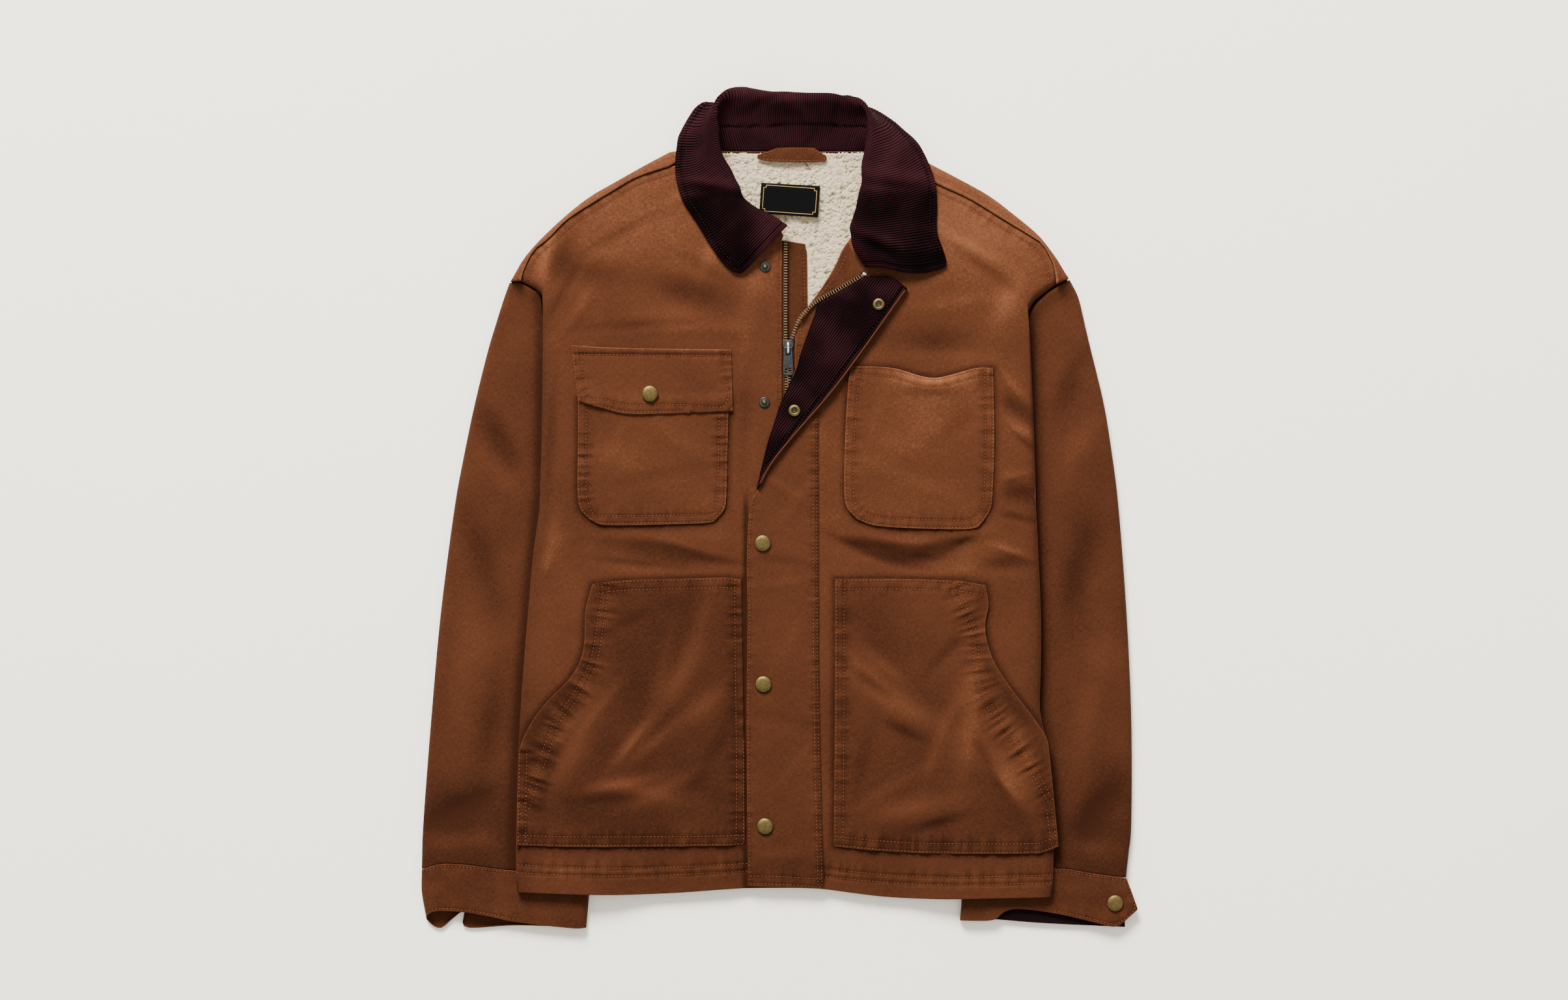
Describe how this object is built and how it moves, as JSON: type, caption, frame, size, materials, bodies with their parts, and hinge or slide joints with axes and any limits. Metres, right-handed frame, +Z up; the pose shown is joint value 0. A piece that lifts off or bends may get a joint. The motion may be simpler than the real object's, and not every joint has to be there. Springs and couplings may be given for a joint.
{
  "type": "barn jacket laid flat",
  "caption": "Canvas barn jacket laid flat, front up, with a corduroy collar, patch pockets, a snapped storm flap half turned back over the zip, and a pile lining.",
  "frame": {"origin": "middle of the laid jacket's bounding box, on the surface it lies on", "axes": "+Z up from the surface, +Y towards the collar, +X towards the wearer's left"},
  "size_m": [0.6816, 0.7988, 0.0334],
  "materials": {
    "canvas": "dry cotton canvas",
    "corduroy": "ribbed pile",
    "pile": "curly pile",
    "knit": "ribbed knit",
    "tape": "woven tape",
    "weave": "woven satin",
    "brass": "dull antique",
    "gunmetal": "dark plated"
  },
  "bodies": {
    "jacket": {"front_right": "canvas", "front_left": "canvas", "back": "canvas", "sleeve_right_top": "canvas", "sleeve_right_under": "canvas", "sleeve_left_top": "canvas", "sleeve_left_under": "canvas", "cuff_right_top": "canvas", "cuff_right_under": "canvas", "cuff_left_top": "canvas", "cuff_left_under": "canvas", "storm_flap": "canvas", "zip_guard": "canvas", "chest_pocket_right": "canvas", "chest_pocket_flap": "canvas", "chest_pocket_left": "canvas", "lower_pocket_right": "canvas", "lower_pocket_left": "canvas", "facing_left": "canvas", "hanger_loop": "canvas", "collar": "corduroy", "flap_facing": "corduroy", "lining": "pile", "cuff_left_knit": "knit", "zip_tape_right": "tape", "zip_tape_left": "tape", "label": "weave", "cap_flap_1": "brass", "cap_flap_2": "brass", "cap_flap_3": "brass", "cap_pocket": "brass", "cap_cuff": "brass", "socket_1": "brass", "socket_2": "brass", "slider": "gunmetal", "stud_1": "gunmetal", "stud_2": "gunmetal"},
    "pull_tab": {"pull_tab": "gunmetal"}
  },
  "joints": [
    {"name": "tab_hinge", "type": "hinge", "parent": "jacket", "child": "pull_tab", "pos_m": [0.00915, 0.15407, 0.0167], "axis": [-1, 0, 0], "range_deg": [0, 150]}
  ]
}
